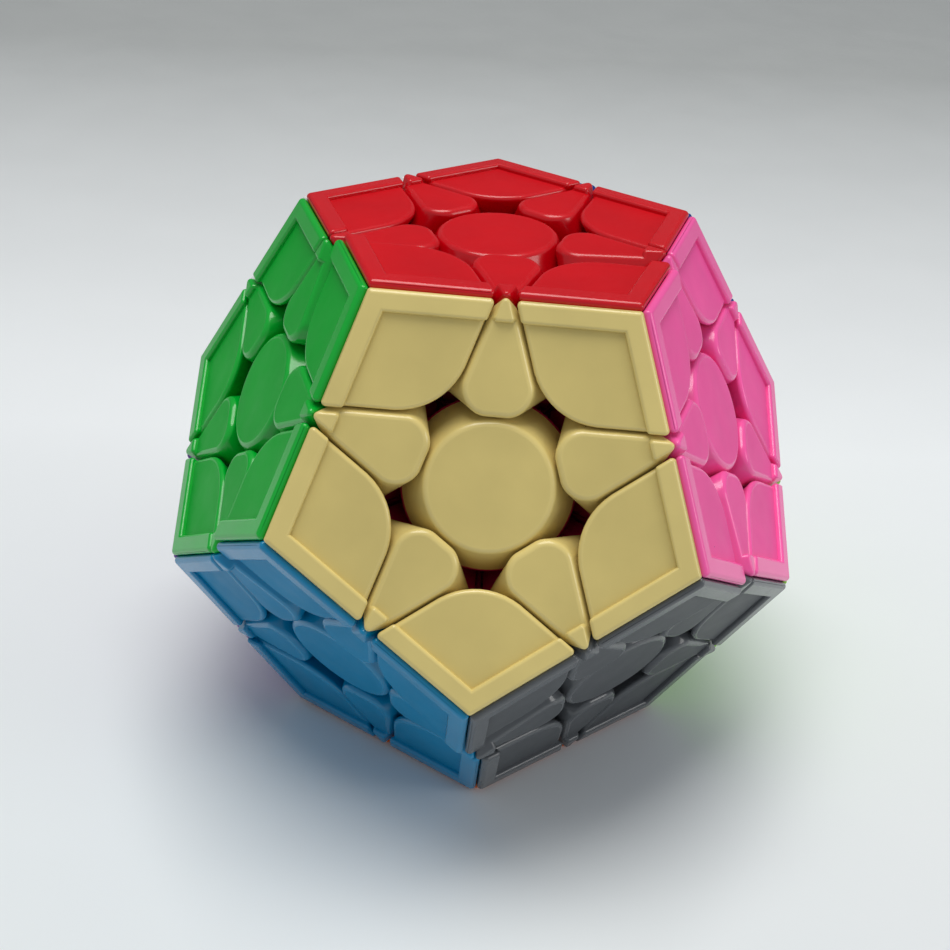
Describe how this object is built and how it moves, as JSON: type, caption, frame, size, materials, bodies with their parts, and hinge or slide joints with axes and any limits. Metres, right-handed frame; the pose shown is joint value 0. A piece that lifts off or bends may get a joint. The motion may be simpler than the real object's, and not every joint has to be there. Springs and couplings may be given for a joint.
{
  "type": "dodecahedron twisty puzzle",
  "caption": "Twelve-coloured face-turning dodecahedron puzzle with recessed matte panels, raised rims, corner, edge and centre pieces on a spring-loaded screw core.",
  "frame": {"origin": "the puzzle's centre, where the twelve face axes meet", "axes": "+Z is the outward normal of the red face, -Y is the front, +X is the right seen from the front; it stands on the orange face, which looks along -Z"},
  "size_m": [0.0956, 0.1004, 0.0821],
  "materials": {
    "red": "glossy rims and flanks, frosted recessed panels",
    "cream": "glossy rims and flanks, frosted recessed panels",
    "pink": "glossy rims and flanks, frosted recessed panels",
    "dark_blue": "glossy rims and flanks, frosted recessed panels",
    "white": "glossy rims and flanks, frosted recessed panels",
    "green": "glossy rims and flanks, frosted recessed panels",
    "grey": "glossy rims and flanks, frosted recessed panels",
    "lime": "glossy rims and flanks, frosted recessed panels",
    "yellow": "glossy rims and flanks, frosted recessed panels",
    "purple": "glossy rims and flanks, frosted recessed panels",
    "light_blue": "glossy rims and flanks, frosted recessed panels",
    "orange": "glossy rims and flanks, frosted recessed panels",
    "inner_plastic": "satin dark plum",
    "steel": "zinc plated"
  },
  "bodies": {
    "core_and_still_pieces": {"core": "inner_plastic", "corner_green_purple_light_blue": "green", "corner_lime_dark_blue_yellow_with_edge_lime_yellow": "lime", "corner_pink_dark_blue_lime_with_edge_dark_blue_lime": "pink", "corner_pink_grey_lime_with_edge_pink_lime": "pink", "corner_red_pink_dark_blue_with_edge_red_dark_blue": "red", "edge_dark_blue_yellow": "dark_blue", "edge_green_light_blue": "green", "edge_green_purple": "green", "edge_grey_light_blue": "grey", "edge_grey_lime": "grey", "edge_pink_dark_blue": "pink", "edge_pink_grey": "pink", "edge_purple_light_blue": "purple", "edge_red_green": "red", "edge_red_pink": "red", "edge_yellow_purple": "yellow", "screws_springs_and_washers": "steel"},
    "cream_layer": {"centre_cream": "cream", "corner_cream_green_light_blue": "cream", "corner_cream_grey_pink": "cream", "corner_cream_light_blue_grey": "cream", "corner_red_cream_pink": "red", "corner_red_green_cream": "red", "edge_cream_green": "cream", "edge_cream_grey": "cream", "edge_cream_light_blue": "cream", "edge_cream_pink": "cream", "edge_red_cream": "red"},
    "orange_layer": {"centre_orange": "orange", "corner_grey_light_blue_orange": "grey", "corner_grey_orange_lime": "grey", "corner_lime_orange_yellow": "lime", "corner_purple_orange_light_blue": "purple", "corner_yellow_orange_purple": "yellow", "edge_grey_orange": "grey", "edge_light_blue_orange": "light_blue", "edge_lime_orange": "lime", "edge_purple_orange": "purple", "edge_yellow_orange": "yellow"},
    "white_layer": {"centre_white": "white", "corner_dark_blue_yellow_white": "dark_blue", "corner_red_dark_blue_white": "red", "corner_red_white_green": "red", "corner_white_purple_green": "white", "corner_white_yellow_purple": "white", "edge_dark_blue_white": "dark_blue", "edge_red_white": "red", "edge_white_green": "white", "edge_white_purple": "white", "edge_white_yellow": "white"},
    "red_centre": {"centre_red": "red"},
    "pink_centre": {"centre_pink": "pink"},
    "dark_blue_centre": {"centre_dark_blue": "dark_blue"},
    "green_centre": {"centre_green": "green"},
    "grey_centre": {"centre_grey": "grey"},
    "lime_centre": {"centre_lime": "lime"},
    "yellow_centre": {"centre_yellow": "yellow"},
    "purple_centre": {"centre_purple": "purple"},
    "light_blue_centre": {"centre_light_blue": "light_blue"}
  },
  "joints": [
    {"name": "layer_cream_turn", "type": "hinge", "parent": "core_and_still_pieces", "child": "cream_layer", "pos_m": [0, 0, 0], "axis": [0, -0.8944, 0.4472], "continuous": true},
    {"name": "layer_orange_turn", "type": "hinge", "parent": "core_and_still_pieces", "child": "orange_layer", "pos_m": [0, 0, 0], "axis": [0, 0, -1], "continuous": true},
    {"name": "layer_white_turn", "type": "hinge", "parent": "core_and_still_pieces", "child": "white_layer", "pos_m": [0, 0, 0], "axis": [-0.5257, 0.7236, 0.4472], "continuous": true},
    {"name": "spin_red_centre", "type": "hinge", "parent": "core_and_still_pieces", "child": "red_centre", "pos_m": [0, 0, 0], "axis": [0, 0, 1], "continuous": true},
    {"name": "spin_pink_centre", "type": "hinge", "parent": "core_and_still_pieces", "child": "pink_centre", "pos_m": [0, 0, 0], "axis": [0.8507, -0.2764, 0.4472], "continuous": true},
    {"name": "spin_dark_blue_centre", "type": "hinge", "parent": "core_and_still_pieces", "child": "dark_blue_centre", "pos_m": [0, 0, 0], "axis": [0.5257, 0.7236, 0.4472], "continuous": true},
    {"name": "spin_green_centre", "type": "hinge", "parent": "core_and_still_pieces", "child": "green_centre", "pos_m": [0, 0, 0], "axis": [-0.8507, -0.2764, 0.4472], "continuous": true},
    {"name": "spin_grey_centre", "type": "hinge", "parent": "core_and_still_pieces", "child": "grey_centre", "pos_m": [0, 0, 0], "axis": [0.5257, -0.7236, -0.4472], "continuous": true},
    {"name": "spin_lime_centre", "type": "hinge", "parent": "core_and_still_pieces", "child": "lime_centre", "pos_m": [0, 0, 0], "axis": [0.8507, 0.2764, -0.4472], "continuous": true},
    {"name": "spin_yellow_centre", "type": "hinge", "parent": "core_and_still_pieces", "child": "yellow_centre", "pos_m": [0, 0, 0], "axis": [0, 0.8944, -0.4472], "continuous": true},
    {"name": "spin_purple_centre", "type": "hinge", "parent": "core_and_still_pieces", "child": "purple_centre", "pos_m": [0, 0, 0], "axis": [-0.8507, 0.2764, -0.4472], "continuous": true},
    {"name": "spin_light_blue_centre", "type": "hinge", "parent": "core_and_still_pieces", "child": "light_blue_centre", "pos_m": [0, 0, 0], "axis": [-0.5257, -0.7236, -0.4472], "continuous": true}
  ]
}
